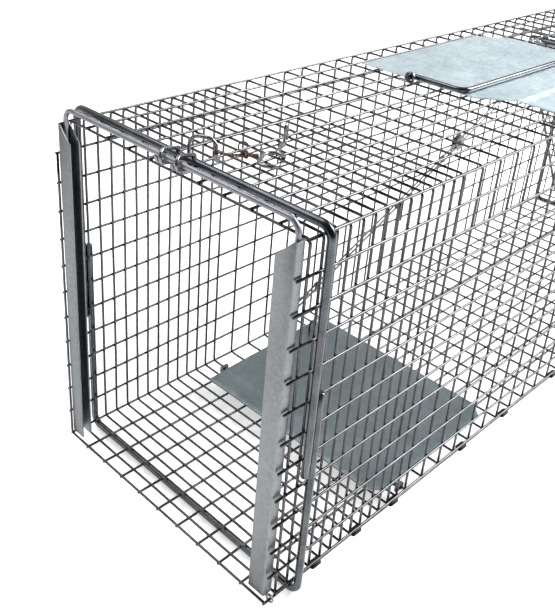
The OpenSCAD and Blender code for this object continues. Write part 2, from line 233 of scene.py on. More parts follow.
    def build(self, name, body, mats, nodes=(), bevel=0):
        mesh = bpy.data.meshes.new(name)
        mesh.from_pydata([tuple(v) for v in self.verts], [], self.faces)
        for m in mats:
            mesh.materials.append(m)
        mesh.polygons.foreach_set("material_index", self.index)
        mesh.polygons.foreach_set("use_smooth", [not f for f in self.flat])
        work = bmesh.new()
        work.from_mesh(mesh)
        bmesh.ops.recalc_face_normals(work, faces=work.faces)
        work.to_mesh(mesh)
        work.free()
        piece = bpy.data.objects.new(name, mesh)
        bpy.context.scene.collection.objects.link(piece)
        if bevel:
            mod = piece.modifiers.new("edge", "BEVEL")
            mod.width = bevel
            mod.segments = 2
            mod.limit_method = "ANGLE"
            mod.angle_limit = math.radians(40)
        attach(piece, body)
        if nodes:
            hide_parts(*nodes)
        return piece


def rounded(points, radius, steps=8):
    """The polyline with each inner corner turned into an arc of that radius."""
    pts = [Vector(p) for p in points]
    line = [pts[0]]
    for before, corner, after in zip(pts, pts[1:], pts[2:]):
        a, b = (before - corner).normalized(), (after - corner).normalized()
        half = a.angle(b) / 2
        if half > math.pi / 2 - 0.02:
            line.append(corner)
            continue
        reach = radius / math.tan(half)
        centre = corner + (a + b).normalized() * (radius / math.sin(half))
        start, end = corner + a * reach - centre, corner + b * reach - centre
        total = start.angle(end)
        for k in range(steps + 1):
            t = k / steps
            blend = (math.sin((1 - t) * total) * start + math.sin(t * total) * end) / math.sin(total)
            line.append(centre + blend)
    line.append(pts[-1])
    return line


def ring(centre, u, v, radius, turns=1.0, lift=None, steps=28):
    """Points of a circle, or of a coil that climbs by lift in each turn."""
    u, v = Vector(u).normalized(), Vector(v).normalized()
    lift = Vector(lift or (0, 0, 0))
    count = int(steps * turns)
    out = []
    for k in range(count + 1):
        a = 2 * math.pi * turns * k / count
        out.append(Vector(centre) + radius * (math.cos(a) * u + math.sin(a) * v) + lift * (a / (2 * math.pi)))
    return out


# ---- Materials ----

def socket_set(shader, **values):
    for name, value in values.items():
        shader.inputs[name.replace("_", " ")].default_value = value


def metal(name, tones, rough, grain=900, bump=0.06, spangle=None):
    """Zinc or steel. tones are the dark and light ends of its colour, rough the low and high roughness."""
    mat = bpy.data.materials.new(name)
    mat.use_nodes = True
    nodes, links = mat.node_tree.nodes, mat.node_tree.links
    nodes.clear()
    out = nodes.new("ShaderNodeOutputMaterial")
    shader = nodes.new("ShaderNodeBsdfPrincipled")
    links.new(shader.outputs[0], out.inputs[0])
    socket_set(shader, Metallic=1.0)
    coords = nodes.new("ShaderNodeTexCoord")

    def noise(scale, detail):
        tex = nodes.new("ShaderNodeTexNoise")
        tex.inputs["Scale"].default_value = scale
        tex.inputs["Detail"].default_value = detail
        links.new(coords.outputs["Object"], tex.inputs["Vector"])
        return tex.outputs["Fac"]

    def mix(a, b, factor):
        node = nodes.new("ShaderNodeMix")
        node.inputs["Factor"].default_value = factor
        links.new(a, node.inputs["A"])
        links.new(b, node.inputs["B"])
        return node.outputs["Result"]

    broad = noise(grain * 0.06, 3)
    fine = noise(grain, 4)
    pattern = mix(broad, fine, 0.45)
    if spangle:
        cells = nodes.new("ShaderNodeTexVoronoi")
        cells.inputs["Scale"].default_value = spangle
        links.new(coords.outputs["Object"], cells.inputs["Vector"])
        pattern = mix(pattern, cells.outputs["Color"], 0.22)
    ramp = nodes.new("ShaderNodeValToRGB")
    ramp.color_ramp.elements[0].position = 0.32
    ramp.color_ramp.elements[1].position = 0.68
    ramp.color_ramp.elements[0].color = (*tones[0], 1)
    ramp.color_ramp.elements[1].color = (*tones[1], 1)
    links.new(pattern, ramp.inputs[0])
    links.new(ramp.outputs[0], shader.inputs["Base Color"])
    span = nodes.new("ShaderNodeMapRange")
    span.inputs["From Min"].default_value = 0.3
    span.inputs["From Max"].default_value = 0.7
    span.inputs["To Min"].default_value = rough[0]
    span.inputs["To Max"].default_value = rough[1]
    links.new(pattern, span.inputs[0])
    links.new(span.outputs[0], shader.inputs["Roughness"])
    relief = nodes.new("ShaderNodeBump")
    relief.inputs["Strength"].default_value = bump
    relief.inputs["Distance"].default_value = 0.2 * MM
    links.new(fine, relief.inputs["Height"])
    links.new(relief.outputs[0], shader.inputs["Normal"])
    return mat


MESH_WIRE = metal("mesh_wire", ((0.035, 0.035, 0.037), (0.11, 0.11, 0.115)), (0.14, 0.26))
WELD = metal("weld_spot", ((0.01, 0.01, 0.01), (0.03, 0.03, 0.03)), (0.5, 0.65))
ZINC_ROD = metal("zinc_rod", ((0.04, 0.043, 0.047), (0.13, 0.14, 0.15)), (0.13, 0.25), bump=0.03)
DULL_ZINC = metal("dull_zinc", ((0.19, 0.19, 0.22), (0.33, 0.33, 0.37)), (0.40, 0.52))
CHANNEL = metal("channel_sheet", ((0.155, 0.165, 0.17), (0.25, 0.265, 0.275)), (0.32, 0.46), 500, 0.05, 420)
GUARD = metal("guard_sheet", ((0.47, 0.56, 0.60), (0.62, 0.70, 0.73)), (0.42, 0.55), 500, 0.04, 240)
TREADLE = metal("treadle_sheet", ((0.205, 0.245, 0.25), (0.29, 0.335, 0.34)), (0.28, 0.42), 500, 0.05, 260)
THIN_ROD = metal("thin_rod", ((0.05, 0.05, 0.052), (0.14, 0.14, 0.145)), (0.22, 0.36))
BRIGHT_ROD = metal("bright_rod", ((0.16, 0.16, 0.17), (0.30, 0.30, 0.31)), (0.18, 0.30))
DARK_STEEL = metal("dark_steel", ((0.012, 0.012, 0.014), (0.045, 0.045, 0.05)), (0.35, 0.5))
TIE_WIRE = metal("tie_wire", ((0.035, 0.015, 0.012), (0.22, 0.15, 0.10)), (0.3, 0.45))


def carry(mat, *nodes):
    """Gives CAD nodes whose shape stays their finished material."""
    for node in nodes:
        piece = frame["nodes"][node]
        if not piece.material_slots:
            piece.data.materials.append(mat)
        for slot in piece.material_slots:
            slot.material = mat


# ---- Cage: four panels of one bent mesh ----

CROSS = [i / 2 for i in range(2 * FINE_CELLS + 1)] + list(range(FINE_CELLS + 1, CELLS_LONG + 1))
HALF = CELLS_WIDE // 2
NUB = 1.2 * MM


def wobble(point, seed):
    """Sideways waver of a wire, under a third of a millimetre."""
    x, y, z = point
    return 0.16 * MM * math.sin(31 * (x + 1.7 * y + 0.9 * z) + 2.4 * seed) \
        + 0.10 * MM * math.sin(83 * (0.6 * x + y - z) + 5.1 * seed)


def steps_between(a, b):
    """Points from a to b about a pitch apart."""
    a, b = Vector(a), Vector(b)
    count = max(1, round((b - a).length / PITCH))
    return [a.lerp(b, k / count) for k in range(count + 1)]


def dense(points):
    out = [Vector(points[0])]
    for a, b in zip(points, points[1:]):
        out += steps_between(a, b)[1:]
    return out


def cross_wire(mesh, cells, yz, capped=False):
    """One wire across the cage through the given (y, z) corners."""
    x = along(cells)
    line = rounded([(x, y, z) for y, z in yz], MESH_BEND)
    sway = 0 if cells in (CROSS[0], CROSS[-1]) else 1
    line = [p + Vector((sway * wobble(p, cells), 0, 0)) for p in dense(line)]
    mesh.tube(line, WIRE_R, 8, capped=capped)


def long_wire(mesh, y, z, start, end, seed, sideways):
    """One wire along the cage, with bare ends. sideways is the direction in its panel."""
    line = dense([(along(start), y, z), (along(end), y, z)])
    line = [p + Vector(sideways) * wobble(p, seed) for p in line]
    mesh.tube(line, WIRE_R, 8)


def welds(mesh, y, z, size, first=0.0):
    """A weld spot at each cross wire from first on. At the ends they are no longer than the wire is thick."""
    for cells in CROSS:
        if cells >= first:
            at_end = cells in (CROSS[0], CROSS[-1])
            mesh.blob((along(cells), y, z), (WIRE_R, size[1], size[2]) if at_end else size, 1)


OUT_Y, IN_Y = WALL_Y + LAYER, WALL_Y - LAYER
OUT_TOP, IN_TOP = ROOF_Z + LAYER, ROOF_Z - LAYER
OUT_LOW, IN_LOW = FLOOR_Z - LAYER, FLOOR_Z + LAYER
FLAT_Y = WALL_Y - MESH_BEND
EDGE = LAYER + MESH_BEND * (1 - math.sqrt(0.5)) - 2 * LAYER * math.sqrt(0.5)
FAR = CELLS_LONG + 0.04
NEAR = -0.04
ROOF_NEAR = 0.4
FLAT_WELD = (1.5 * MM, 1.5 * MM, 1.2 * MM)
UPRIGHT_WELD = (1.5 * MM, 1.2 * MM, 1.5 * MM)


def floor_panel():
    mesh = Builder()
    for cells in CROSS:
        cross_wire(mesh, cells, [(-WALL_Y - NUB, IN_LOW), (FLAT_Y, IN_LOW)], capped=True)
    for row in range(-HALF, HALF):
        y = row * PITCH
        long_wire(mesh, y, OUT_LOW, NEAR, FAR, row, (0, 1, 0))
        welds(mesh, y, FLOOR_Z, FLAT_WELD)
    long_wire(mesh, WALL_Y - EDGE, FLOOR_Z + EDGE, NEAR, FAR, HALF, (0, 1, 0))
    return mesh.build("floor_wires", "cage", (MESH_WIRE, WELD), ["cage_floor"])


def left_panel():
    mesh = Builder()
    cut_z = up(CELLS_HIGH - 1) + NUB
    for cells in CROSS:
        if cells == 0:
            yz = [(FLAT_Y, IN_LOW), (IN_Y, IN_LOW), (IN_Y, cut_z)]
        else:
            yz = [(FLAT_Y, IN_LOW), (IN_Y, IN_LOW), (IN_Y, IN_TOP), (FLAT_Y, IN_TOP)]
        cross_wire(mesh, cells, yz)
    for row in range(1, CELLS_HIGH):
        long_wire(mesh, OUT_Y, up(row), NEAR, FAR, 20 + row, (0, 0, 1))
        welds(mesh, WALL_Y, up(row), UPRIGHT_WELD)
    return mesh.build("left_wall_wires", "cage", (MESH_WIRE, WELD), ["cage_left_wall"])


def roof_panel():
    mesh = Builder()
    for cells in CROSS[1:]:
        cross_wire(mesh, cells, [(FLAT_Y, IN_TOP), (-FLAT_Y, IN_TOP)])
    for row in range(1 - HALF, HALF):
        y = row * PITCH
        long_wire(mesh, y, OUT_TOP, ROOF_NEAR, FAR, 40 + row, (0, 1, 0))
        welds(mesh, y, ROOF_Z, FLAT_WELD, 0.5)
    for side in (-1, 1):
        long_wire(mesh, side * (WALL_Y - EDGE), ROOF_Z - EDGE, ROOF_NEAR, FAR, 50 + side, (0, 1, 0))
    return mesh.build("roof_wires", "cage", (MESH_WIRE, WELD), ["cage_roof"])


def right_panel():
    mesh = Builder()
    for cells in CROSS[1:]:
        cross_wire(mesh, cells, [(-FLAT_Y, IN_TOP), (-IN_Y, IN_TOP), (-IN_Y, FLOOR_Z - NUB)])
    for row in range(1, CELLS_HIGH):
        long_wire(mesh, -OUT_Y, up(row), 0.05, FAR, 60 + row, (0, 0, 1))
        welds(mesh, -WALL_Y, up(row), UPRIGHT_WELD, 0.5)
    long_wire(mesh, -OUT_Y, FLOOR_Z + 2.4 * MM, 0.45, FAR, 72, (0, 0, 1))
    return mesh.build("right_wall_wires", "cage", (MESH_WIRE, WELD), ["cage_right_wall"])


floor_panel()
left_panel()
roof_panel()
right_panel()


# ---- Hoops ----

def hoop(node, name, mat, bend, opens_down, sides=24):
    """Rod bent to a U across the cage, its place and size read from the CAD node's box."""
    lo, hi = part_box(node)
    r = (hi.x - lo.x) / 2
    x = (lo.x + hi.x) / 2
    y = hi.y - r
    if opens_down:
        corners = [(x, -y, lo.z), (x, -y, hi.z - r), (x, y, hi.z - r), (x, y, lo.z)]
    else:
        base = FLOOR_Z - (high("release_upper_hoop", 2) - r - ROOF_Z)
        corners = [(x, -y, hi.z), (x, -y, base), (x, y, base), (x, y, hi.z)]
    mesh = Builder()
    mesh.tube(dense(rounded(corners, bend, 12)), r, sides)
    mesh.verts = [Vector((v.x, v.y, max(v.z, 0.0))) for v in mesh.verts]
    return mesh.build(name, "cage", (mat,), [node])


HOOP_BEND = 9 * MM
hoop("release_upper_hoop", "release_upper_rod", ZINC_ROD, HOOP_BEND, True)
hoop("release_lower_hoop", "release_lower_rod", ZINC_ROD, HOOP_BEND, False)
hoop("entrance_upper_hoop", "entrance_upper_rod", ZINC_ROD, HOOP_BEND, True)
hoop("entrance_lower_hoop", "entrance_lower_rod", ZINC_ROD, HOOP_BEND, False)
hoop("guide_hoop", "guide_rod", DULL_ZINC, HOOP_BEND, True, 16)


# ---- Channels ----

SHEET = 1.2 * MM


def channel(node, name, side):
    lo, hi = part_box(node)
    web_y = hi.y if side > 0 else lo.y
    leg = hi.y - lo.y
    inset = SHEET / 2
    xs = (lo.x + inset, hi.x - inset)
    web = web_y - side * inset
    tip = web_y - side * leg
    line = rounded([(xs[0], tip, 0), (xs[0], web, 0), (xs[1], web, 0), (xs[1], tip, 0)], 1.4 * MM, 4)
    lead_in = 2 * MM

    def top(x, y):
        return hi.z - max(0.0, abs(y - web_y) - lead_in)

    mesh = Builder()
    mesh.strip([(p.x, p.y) for p in line], SHEET, (lo.z, top))
    return mesh.build(name, "cage", (CHANNEL,), [node], 0.2 * MM)


channel("left_channel", "left_channel_sheet", 1)
channel("right_channel", "right_channel_sheet", -1)


# ---- Small pieces on the cage ----

SIDEWAYS = Matrix(((0, 0, 1, 0), (1, 0, 0, 0), (0, 1, 0, 0), (0, 0, 0, 1)))


def arc(radius, start, end, steps=14):
    """Points of an arc in the XY plane, its angles in degrees."""
    out = []
    for k in range(steps + 1):
        a = math.radians(start + (end - start) * k / steps)
        out.append((radius * math.cos(a), radius * math.sin(a)))
    return out


def seam_clips():
    """Crimped strips that hold the floor and the right wall together."""
    mesh = Builder()
    length = 9 * MM
    for cells in (2.25, 4.25, 6.25, 10.5, 13.5, 17.5, 20.5, 24.5, 27.5, 31.5):
        place = Matrix.Translation((along(cells), -WALL_Y, FLOOR_Z)) @ SIDEWAYS
        line = [(x * 1.05, y * 0.85) for x, y in arc(2.9 * MM, -150, 165, 20)]
        line.append((line[-1][0] - 0.2 * MM, line[-1][1] - 1.6 * MM))
        mesh.strip(line, 0.9 * MM, (-length / 2, lambda x, y: length / 2), 0, place)
    return mesh.build("seam_clip_strips", "cage", (DARK_STEEL,), ["seam_clips"], 0.15 * MM)


def corner_tie():
    mesh = Builder()
    centre = ((low("corner_tie", 0) + high("corner_tie", 0)) / 2 - 0.6 * MM, -WALL_Y, FLOOR_Z)
    wire = 0.5 * MM
    mesh.tube(ring(centre, (0, 1, 0), (0, 0, 1), 3.3 * MM, 2.4, (0.6 * MM, 0, 0), 20), wire, 8)
    return mesh.build("corner_tie_wire", "cage", (DULL_ZINC,), ["corner_tie"])


def plate_ties():
    """Wire staples that tie the guard plate to the roof."""
    mesh = Builder()
    z = ROOF_TOP + 0.75 * MM
    for x in (14, 21):
        for y in (-2, 2):
            mesh.tube(ring((along(x), y * PITCH, z), (1, 0, 0), (0, 1, 0), 1.6 * MM, 2, (0, 0, 0.5 * MM)),
                      0.45 * MM, 8)
    return mesh.build("plate_tie_wires", "cage", (DULL_ZINC,), ["plate_ties"])


def rows_between(edges, step=8 * MM):
    """The (s, t0, t1) rows given, with even rows added between them about every step."""
    rows = []
    for a, b in zip(edges, edges[1:]):
        count = max(1, round(abs(b[0] - a[0]) / step))
        rows += [tuple(p + (q - p) * k / count for p, q in zip(a, b)) for k in range(count)]
    return rows + [edges[-1]]


def guard_plate():
    lo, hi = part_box("guard_plate")
    top = ROOF_TOP + 2 * MM + SHEET
    corner = 1.1 * PITCH
    fold = -2.62 * PITCH
    crease = 1.2 * MM
    ramp = 3 * MM
    drop = 1.1 * MM

    def height(s, t):
        wave = 0.10 * MM * math.sin(38 * t + 9 * s) + 0.07 * MM * math.sin(71 * s + 24 * t)
        past = fold - s
        if past <= 0:
            return top + wave * min(1.0, -past / (20 * MM)) - 0.12 * MM
        return top - 0.12 * MM - drop * min(1.0, past / ramp)

    edges = [(hi.y, lo.x, hi.x - corner), (hi.y - corner, lo.x, hi.x)]
    edges += [(fold + corner, lo.x, hi.x), (fold + crease, lo.x + corner - crease, hi.x - corner + crease)]
    edges += [(fold, lo.x + corner, hi.x - corner), (fold - ramp, lo.x + corner + MM, hi.x - corner - MM)]
    edges += [(lo.y + 2 * MM, lo.x + corner + MM, hi.x - corner - MM)]
    edges += [(lo.y, lo.x + corner + 3 * MM, hi.x - corner - 3 * MM)]
    swap = Matrix(((0, 1, 0, 0), (1, 0, 0, 0), (0, 0, 1, 0), (0, 0, 0, 1)))
    mesh = Builder()
    mesh.sheet(rows_between(edges), 30, SHEET, height, 0, swap)
    return mesh.build("guard_plate_sheet", "cage", (GUARD,), ["guard_plate"], 0.25 * MM)


seam_clips()
corner_tie()
plate_ties()
guard_plate()
carry(CHANNEL, "rod_pivot_stud", "axle_clips")
carry(THIN_ROD, "treadle_axle", "door_hinge_rod")


# ---- Handle ----

GRIP = joint_at("handle_fold")
PIN_OUT = 12 * MM
GRIP_FROM = low("handle_bail", 0) + PIN_OUT
GRIP_TO = high("handle_bail", 0) - PIN_OUT


def handle_bail():
    r = (high("handle_bail", 2) - low("handle_bail", 2)) / 2
    y_out = low("handle_bail", 1) + r
    y_mid = (GRIP.y + y_out) / 2
    ends = ((GRIP_FROM, -1), (GRIP_TO, 1))
    pins = [rounded([(x + side * PIN_OUT, GRIP.y, GRIP.z), (x, GRIP.y, GRIP.z), (x, y_mid, GRIP.z)],
                    3.4 * MM, 8) for x, side in ends]
    grip = rounded([(GRIP_FROM, y_mid, GRIP.z), (GRIP_FROM, y_out, GRIP.z),
                    (GRIP_TO, y_out, GRIP.z), (GRIP_TO, y_mid, GRIP.z)], 10 * MM, 12)
    mesh = Builder()
    mesh.tube(pins[0] + grip[1:-1] + pins[1][::-1], r, 20)
    return mesh.build("handle_wire", "handle", (ZINC_ROD,), ["handle_bail"])


def handle_eyes():
    """Wire coils round the handle's two pins, each with tails along the roof."""
    mesh = Builder()
    wire = 1.2 * MM
    turn_r = 4.2 * MM
    tail = 13 * MM
    for x, side in ((low("handle_eyes", 0), 1), (high("handle_eyes", 0), -1)):
        start = Vector((x + side * wire, GRIP.y, GRIP.z))
        coil = ring(start, (0, 0, -1), (0, 1, 0), turn_r, 2, (side * 1.3 * MM, 0, 0), 24)
        low_z = GRIP.z - turn_r
        first = Vector((start.x, GRIP.y - tail, low_z))
        final = Vector((coil[-1].x, GRIP.y + tail, low_z))
        mesh.tube([first] + coil + [final], wire, 12)
    return mesh.build("handle_eye_coils", "cage", (BRIGHT_ROD,), ["handle_eyes"])


handle_bail()
handle_eyes()


# ---- Treadle ----

AXLE = joint_at("treadle_tilt")
AXLE_R = 2 * MM
TREADLE_TILT = math.radians(1.5)
ON_TREADLE = Matrix.Translation(AXLE) @ Matrix.Rotation(-TREADLE_TILT, 4, "Y")
TREADLE_TOP = AXLE_R + 0.1 * MM + SHEET
TREADLE_LONG = 6.7 * PITCH
TREADLE_RIGHT, TREADLE_LEFT = -4.7 * PITCH, 3.9 * PITCH
SLEEVE_R = AXLE_R + 1.05 * MM


def treadle_plate():
    corner = 12 * MM
    front = -PITCH
    back = front + TREADLE_LONG
    lip = 0.9 * MM

    def height(s, t):
        wave = 0.14 * MM * math.sin(43 * s + 11 * t) + 0.09 * MM * math.sin(29 * t - 60 * s)
        slope = 0.9 * MM * min(0.0, s) / PITCH
        ridge = 0.35 * MM * max(0.0, 1 - abs(s) / (2.4 * MM))
        return TREADLE_TOP + slope + ridge + (wave if s > 4 * MM else 0.3 * wave)

    edges = [(front, TREADLE_RIGHT + corner, TREADLE_LEFT), (front + corner, TREADLE_RIGHT, TREADLE_LEFT)]
    edges += [(x * MM, TREADLE_RIGHT, TREADLE_LEFT) for x in (-2.4, 0, 2.4)]
    edges += [(back - corner, TREADLE_RIGHT, TREADLE_LEFT),
              (back, TREADLE_RIGHT + corner, TREADLE_LEFT - corner)]
    mesh = Builder()
    mesh.sheet(rows_between(edges), 30, SHEET, height, 0, ON_TREADLE)
    hem = [ON_TREADLE @ Vector((front, y, height(front, y) - SHEET / 2))
           for y in (TREADLE_RIGHT + corner, 0, TREADLE_LEFT)]
    mesh.tube(hem, lip, 10)
    sleeve = [ON_TREADLE @ Vector((0, y, 0)) for y in (TREADLE_RIGHT + 2 * MM, 0, TREADLE_LEFT - 2 * MM)]
    mesh.tube(sleeve, SLEEVE_R, 20)
    return mesh.build("treadle_sheet", "treadle", (TREADLE,), ["treadle_plate"], 0.25 * MM)


TOE = Vector((along(12) - 9 * MM, 4.8 * PITCH, AXLE.z + 12.5 * MM))
EYE_Y = 3.45 * PITCH


def treadle_eye():
    half, head, wire = 8 * MM, 13 * MM, 1.15 * MM
    x = TOE.x - 2 * MM - AXLE.x
    foot = TREADLE_TOP - SHEET
    corners = [(x - half, EYE_Y, foot), (x - half, EYE_Y, TREADLE_TOP + head),
               (x + half, EYE_Y, TREADLE_TOP + head), (x + half, EYE_Y, foot)]
    mesh = Builder()
    mesh.tube(rounded([ON_TREADLE @ Vector(p) for p in corners], 4 * MM, 8), wire, 12)
    return mesh.build("treadle_staple", "treadle", (THIN_ROD,), ["treadle_eye"])


treadle_plate()
treadle_eye()


# ---- Trip rods ----

TRIP_RISE = math.atan(0.457)
TRIP_LONG = 23 * PITCH
TRIP_GAP = 6 * MM
TRIP_R = 1.15 * MM
ON_TRIP = Matrix.Translation(TOE) @ Matrix.Rotation(-TRIP_RISE, 4, "Y") @ Matrix.Rotation(math.pi / 2, 4, "X")


def trip_rods():
    """Hairpin of two rods whose lower one turns in across the treadle's corner."""
    toe_end = TOE - Vector((0, TOE.y - EYE_Y + 6 * MM, 0))
    lower = rounded([toe_end, TOE, ON_TRIP @ Vector((30 * MM, 0, 0))], 2.5 * MM, 6)
    middle_y = TRIP_GAP / 2
    bend = [ON_TRIP @ Vector((TRIP_LONG + middle_y * math.cos(a), middle_y + middle_y * math.sin(a), 0))
            for a in [math.radians(d) for d in range(-90, 91, 15)]]
    upper = [ON_TRIP @ Vector((x, TRIP_GAP, 0)) for x in (TRIP_LONG * 0.66, TRIP_LONG * 0.33, 10 * MM)]
    lower += [ON_TRIP @ Vector((x, 0, 0)) for x in (TRIP_LONG * 0.33, TRIP_LONG * 0.66)]
    mesh = Builder()
    mesh.tube(lower + bend + upper, TRIP_R, 10)
    return mesh.build("trip_rod_wires", "trip", (BRIGHT_ROD,), ["trip_rods"])


def rod_bindings():
    """Thin wire wound round the two rods."""
    mesh = Builder()
    wire = 0.55 * MM
    reach = TRIP_R + wire
    turns, length = 4, 5 * MM
    for at in (40 * MM, 7.6 * PITCH, 11.4 * PITCH, 19 * PITCH):
        line = []
        count = 16 * turns
        for k in range(count + 1):
            a = 2 * math.pi * turns * k / count
            rod_y = TRIP_GAP if math.sin(a) > 0 else 0
            line.append(ON_TRIP @ Vector((at + length * k / count, rod_y + reach * math.sin(a),
                                          reach * math.cos(a))))
        mesh.tube(line, wire, 8)
    return mesh.build("rod_binding_wires", "trip", (THIN_ROD,), ["rod_bindings"])


trip_rods()
rod_bindings()
carry(CHANNEL, "rod_pivot_tab")
carry(DARK_STEEL, "rod_counterweight")


# ---- Entrance door ----

HINGE = joint_at("door_swing")
DOOR_R = 2 * MM
DOOR_DROP = HINGE.z - (FLOOR_TOP + DOOR_R + 1.5 * MM)
DOOR_RUN = along(35.5) - HINGE.x
DOOR_LONG = math.hypot(DOOR_DROP, DOOR_RUN)
DOOR_WIDE = 8.8 * PITCH
DOOR_HEAD = 8 * MM
ON_DOOR = Matrix.Translation(HINGE) @ Matrix.Rotation(math.atan2(DOOR_DROP, DOOR_RUN), 4, "Y")


def door_frame():
    half = DOOR_WIDE / 2
    head, foot = DOOR_HEAD, DOOR_LONG
    mid = (head + foot) / 2
    corners = [(mid, -half), (foot, -half), (foot, half), (head, half), (head, -half), (mid, -half)]
    mesh = Builder()
    mesh.tube(dense(rounded([ON_DOOR @ Vector((x, y, 0)) for x, y in corners], 8 * MM, 10)), DOOR_R, 14)
    return mesh.build("door_frame_rod", "door", (THIN_ROD,), ["door_frame"])


def door_mesh():
    mesh = Builder()
    half = DOOR_WIDE / 2 - DOOR_R * 0.6
    ends = (DOOR_HEAD + DOOR_R * 0.6, DOOR_LONG - DOOR_R * 0.6)
    for row in range(-4, 5):
        line = dense([(ends[0], row * PITCH, -LAYER), (ends[1], row * PITCH, -LAYER)])
        mesh.tube([ON_DOOR @ (p + Vector((0, wobble(p, row), 0))) for p in line], WIRE_R, 8)
    for row in range(1, 14):
        line = dense([(row * PITCH, -half, LAYER), (row * PITCH, half, LAYER)])
        mesh.tube([ON_DOOR @ (p + Vector((wobble(p, row), 0, 0))) for p in line], WIRE_R, 8)
        for col in range(-4, 5):
            mesh.blob(ON_DOOR @ Vector((row * PITCH, col * PITCH, 0)), (1.4 * MM, 1.4 * MM, 1.4 * MM), 1)
    return mesh.build("door_wires", "door", (MESH_WIRE, WELD), ["door_mesh"])


door_frame()
door_mesh()
carry(CHANNEL, "door_hinge_straps")


# ---- Roof latch ----

def latch_coils():
    """Two long coils of wire that tie the upper hoop to the guide hoop."""
    mesh = Builder()
    guide = Vector((middle("guide_hoop", 0), 0, high("guide_hoop", 2) - 2 * MM))
    rod_r = (high("release_upper_hoop", 0) - low("release_upper_hoop", 0)) / 2
    hoop_at = Vector((middle("release_upper_hoop", 0), 0, high("release_upper_hoop", 2) - rod_r))
    wire = 1.3 * MM
    reach = rod_r + wire + 0.3 * MM
    along_span = (hoop_at - guide).normalized()
    across = Vector((along_span.z, 0, -along_span.x))
    skew = math.tan(math.radians(20))
    mid_x = (guide.x + hoop_at.x) / 2
    turns, lift, count = 1.5, 4.5 * MM, 24
    for y in (-0.35 * PITCH, 0.31 * PITCH):
        line = []
        for k in range(int(turns * count) + 1):
            a = 2 * math.pi * k / count
            centre = hoop_at if math.cos(a) > 0 else guide
            p = centre + along_span * (reach * math.cos(a)) + across * (reach * math.sin(a))
            p.y = y + (p.x - mid_x) * skew + lift * (k / count - turns / 2)
            line.append(p)
        mesh.tube(line, wire, 12)
    return mesh.build("latch_coil_wires", "cage", (BRIGHT_ROD,), ["latch_coils"])


ARCH_AT = Vector((middle("latch_arch", 0), middle("latch_arch", 1), 0))
ARCH_DIR = Vector((math.cos(math.radians(-61)), math.sin(math.radians(-61)), 0))
ARCH_HALF = 10 * MM


def latch_arch():
    """Wire arch with its two feet curled round the roof."""
    mesh = Builder()
    wire = 1.45 * MM
    top = high("latch_arch", 2) - wire
    foot = ROOF_TOP + wire
    toe = 5 * MM
    corners = [ARCH_AT - ARCH_DIR * ARCH_HALF + Vector((-toe, -toe / 2, foot)),
               ARCH_AT - ARCH_DIR * ARCH_HALF + Vector((0, 0, foot)),
               ARCH_AT - ARCH_DIR * ARCH_HALF + Vector((0, 0, top)),
               ARCH_AT + ARCH_DIR * ARCH_HALF + Vector((0, 0, top)),
               ARCH_AT + ARCH_DIR * ARCH_HALF + Vector((0, 0, foot)),
               ARCH_AT + ARCH_DIR * ARCH_HALF + Vector((toe, toe / 2, foot))]
    line = rounded(corners[:3], 2.5 * MM, 6)[:-1] + rounded(corners[1:5], 7 * MM, 8)[1:-1] \
        + rounded(corners[3:], 2.5 * MM, 6)[1:]
    mesh.tube(line, wire, 12)
    return mesh.build("latch_arch_wire", "cage", (BRIGHT_ROD,), ["latch_arch"])


HOOK_TURN = Matrix.Rotation(math.radians(29), 4, "Z")
HOOK_STRAIGHT, HOOK_BEND, HOOK_R = 12 * MM, 7.5 * MM, 1.5 * MM
KNOT_IN = Vector((2 * MM, 11.5 * MM, 0))
KNOT = joint_at("snap_swivel")
ON_HOOK = Matrix.Translation(KNOT - HOOK_TURN @ KNOT_IN) @ HOOK_TURN


def twisted(mesh, path, lay, radius, turn):
    """Two strands wound round each other along the path."""
    fine = [Vector(path[0])]
    for a, b in zip(path, path[1:]):
        a, b = Vector(a), Vector(b)
        count = max(1, round((b - a).length / (0.9 * MM)))
        fine += [a.lerp(b, k / count) for k in range(1, count + 1)]
    for strand in (0, math.pi):
        line, gone = [], 0.0
        for i, p in enumerate(fine):
            ahead = (fine[min(i + 1, len(fine) - 1)] - fine[max(i - 1, 0)]).normalized()
            u = ahead.cross(Vector((0, 0, 1))).normalized()
            v = ahead.cross(u)
            gone += (p - fine[i - 1]).length if i else 0.0
            a = 2 * math.pi * gone / turn + strand
            line.append(p + lay * (math.cos(a) * u + math.sin(a) * v))
        mesh.tube(line, radius, 8)


